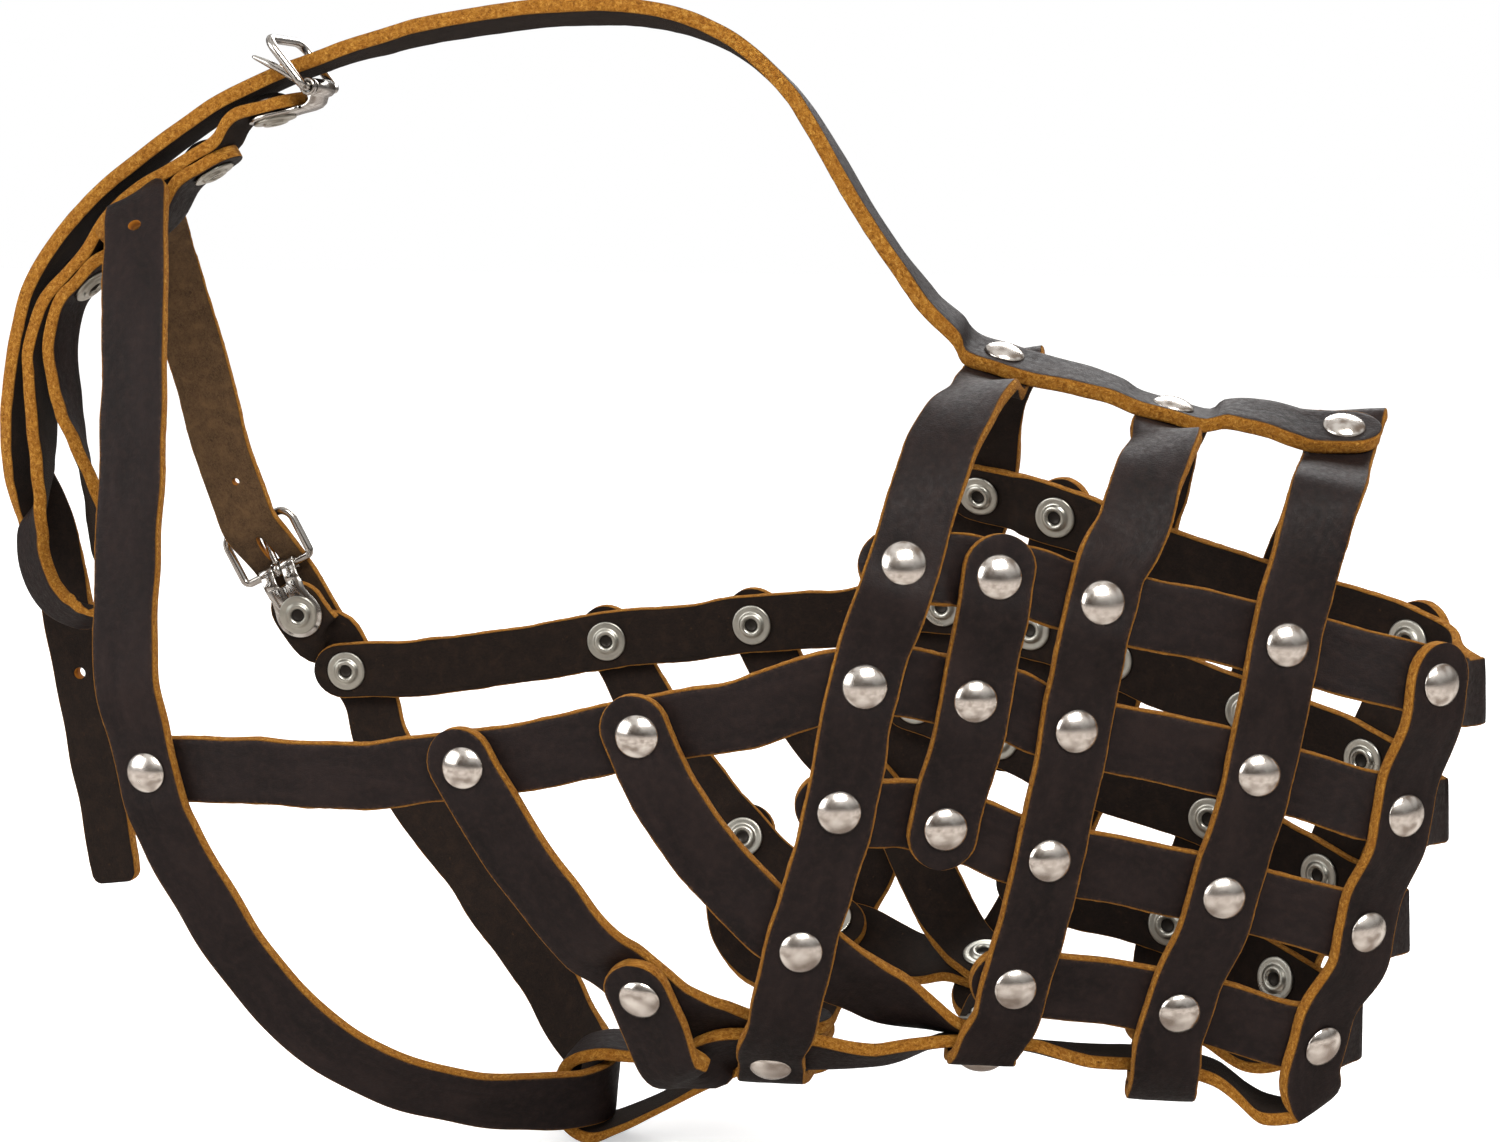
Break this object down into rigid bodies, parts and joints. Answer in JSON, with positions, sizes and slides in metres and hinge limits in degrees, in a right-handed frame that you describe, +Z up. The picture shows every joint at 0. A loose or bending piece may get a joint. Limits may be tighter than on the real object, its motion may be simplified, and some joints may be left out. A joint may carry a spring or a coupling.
{
  "type": "basket muzzle",
  "caption": "Riveted leather strap basket muzzle with crown strap, neck and throat strap, and two single-prong wire buckles.",
  "frame": {"origin": "on the mid plane of the basket, level with the second rivet of the rear hoop, in the middle of the snout opening's height", "axes": "+X along the muzzle towards the nose, +Y towards the animal's left, +Z up as the muzzle rests"},
  "size_m": [0.3576, 0.1302, 0.2736],
  "materials": {
    "strap_leather": "satin, dark brown grain, raw tan edges",
    "head_strap_leather": "satin, dark brown grain, raw tan edges",
    "rivet_caps": "polished nickel plate",
    "rivet_backs": "nickel plate",
    "buckle_metal": "nickel plate"
  },
  "bodies": {
    "muzzle": {"upper_side_band": "strap_leather", "cheek_band": "strap_leather", "lower_side_band": "strap_leather", "jaw_band": "strap_leather", "rear_hoop": "strap_leather", "middle_hoop": "strap_leather", "front_hoop": "strap_leather", "right_side_tie": "strap_leather", "left_side_tie": "strap_leather", "right_chin_strap": "strap_leather", "left_chin_strap": "strap_leather", "right_rear_jaw_strap": "strap_leather", "left_rear_jaw_strap": "strap_leather", "right_front_jaw_strap": "strap_leather", "left_front_jaw_strap": "strap_leather", "chin_loop": "strap_leather", "crown_strap": "head_strap_leather", "crown_loop_strap": "head_strap_leather", "neck_throat_strap": "head_strap_leather", "right_rivet_caps": "rivet_caps", "right_rivet_backs": "rivet_backs", "left_rivet_caps": "rivet_caps", "left_rivet_backs": "rivet_backs", "top_rivet_caps": "rivet_caps", "top_rivet_backs": "rivet_backs", "chin_rivet_caps": "rivet_caps", "chin_rivet_backs": "rivet_backs", "crown_loop_rivet_caps": "rivet_caps", "crown_loop_rivet_backs": "rivet_backs", "neck_chape_rivet_cap": "rivet_caps", "neck_chape_rivet_back": "rivet_backs", "crown_buckle_chape": "buckle_metal", "neck_buckle_chape": "buckle_metal"},
    "crown_frame": {"crown_buckle_frame": "buckle_metal"},
    "crown_prong": {"crown_buckle_prong": "buckle_metal"},
    "neck_frame": {"neck_buckle_frame": "buckle_metal"},
    "neck_prong": {"neck_buckle_prong": "buckle_metal"}
  },
  "joints": [
    {"name": "crown_frame_swing", "type": "hinge", "parent": "muzzle", "child": "crown_frame", "pos_m": [-0.14204, 0, 0.12641], "axis": [0, 1, 0], "range_deg": [-7, 62]},
    {"name": "crown_prong_swing", "type": "hinge", "parent": "muzzle", "child": "crown_prong", "pos_m": [-0.14204, 0, 0.12641], "axis": [0, 1, 0], "range_deg": [-28, 7]},
    {"name": "neck_frame_swing", "type": "hinge", "parent": "muzzle", "child": "neck_frame", "pos_m": [-0.17761, 0.04936, 0.00214], "axis": [-0.892, -0.0584, -0.4482], "range_deg": [-3, 1]},
    {"name": "neck_prong_swing", "type": "hinge", "parent": "muzzle", "child": "neck_prong", "pos_m": [-0.17761, 0.04936, 0.00214], "axis": [-0.892, -0.0584, -0.4482], "range_deg": [-1, 8]}
  ]
}
